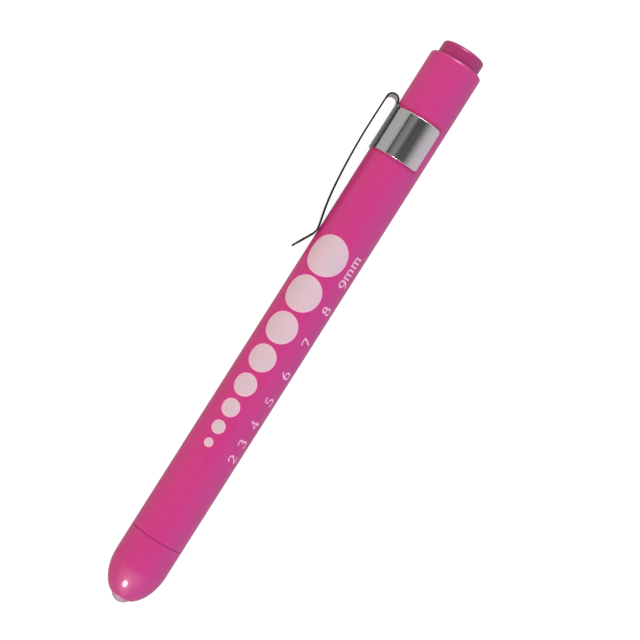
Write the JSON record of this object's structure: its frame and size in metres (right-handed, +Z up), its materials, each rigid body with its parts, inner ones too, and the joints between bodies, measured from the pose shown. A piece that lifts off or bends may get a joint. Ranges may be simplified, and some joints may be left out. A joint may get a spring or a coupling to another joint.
{
  "type": "pupil-gauge penlight",
  "caption": "Slim diagnostic penlight: lacquered tube with pupil gauge, screw-off nose with an LED dome, tail push button and spring pocket clip.",
  "frame": {"origin": "on the pen's axis, in the plane where the nose cap meets the barrel", "axes": "+X along the pen towards the nose; +Z up from the surface that the pen lies on; the clip points towards -Y and 25.3 degrees below the horizontal"},
  "size_m": [0.1354, 0.0155, 0.0128],
  "materials": {
    "pink_lacquer": "satin lacquer on aluminium, fine orange peel",
    "pink_button": "satin lacquer, slightly darker than the barrel",
    "clip_plating": "bright nickel-chrome plate on spring steel, dark sheared edges",
    "clear_epoxy": "clear cast epoxy, polished",
    "lead_frame": "silver-plated steel",
    "phosphor": "yellow phosphor over the light chip",
    "black_moulding": "moulded, fine matt",
    "white_moulding": "moulded acetal, natural white",
    "board": "glass-fibre board with green mask",
    "resistor": "chip resistor",
    "contact_brass": "plain brass, lightly tarnished",
    "spring_steel": "nickel-plated music wire",
    "cell_steel": "nickel-plated steel",
    "cell_paste": "cell contents as one block",
    "cell_nylon": "nylon",
    "cell_jacket": "plain shrink jacket, no lettering"
  },
  "bodies": {
    "barrel": {"barrel": "pink_lacquer", "clip_band": "clip_plating", "switch_housing": "black_moulding", "contact_plate": "contact_brass", "ground_clip": "contact_brass", "return_spring": "spring_steel", "tail_spring": "spring_steel"},
    "button": {"button_cap": "pink_button", "plunger": "white_moulding", "rotor": "white_moulding", "contact_pin": "contact_brass"},
    "cells": {"front_cell_can": "cell_steel", "front_cell_core": "cell_paste", "front_cell_seal": "cell_nylon", "front_cell_base": "cell_steel", "front_cell_sleeve": "cell_jacket", "rear_cell_can": "cell_steel", "rear_cell_core": "cell_paste", "rear_cell_seal": "cell_nylon", "rear_cell_base": "cell_steel", "rear_cell_sleeve": "cell_jacket"},
    "nose": {"nose_cap": "pink_lacquer", "led_lens": "clear_epoxy", "led_anode": "lead_frame", "led_cathode": "lead_frame", "led_die": "phosphor", "led_holder": "black_moulding", "led_board": "board", "limit_resistor": "resistor", "front_contact": "contact_brass"},
    "clip": {"clip_arm": "clip_plating"}
  },
  "joints": [
    {"name": "button_press", "type": "slide", "parent": "barrel", "child": "button", "axis": [1, 0, 0], "range_m": [0, 0.0022], "stiffness_N_per_m": 500, "springref_m": -0.002, "deforming": ["return_spring"]},
    {"name": "nose_advance", "type": "slide", "parent": "barrel", "child": "cells", "axis": [1, 0, 0], "range_m": [0, 0.005], "deforming": ["tail_spring"]},
    {"name": "nose_unscrew", "type": "hinge", "parent": "cells", "child": "nose", "pos_m": [0, 0, 0], "axis": [1, 0, 0], "range_deg": [0, 2400.5]},
    {"name": "clip_flex", "type": "hinge", "parent": "barrel", "child": "clip", "pos_m": [-0.10303, -0.0068, -0.00321], "axis": [0, 0.4274, -0.9041], "range_deg": [0, 7], "stiffness_Nm_per_rad": 0.5, "springref_deg": -2.86}
  ],
  "couplings": [
    {"joint": "nose_unscrew", "follows": "nose_advance", "rad_per_m": 8377.6}
  ]
}
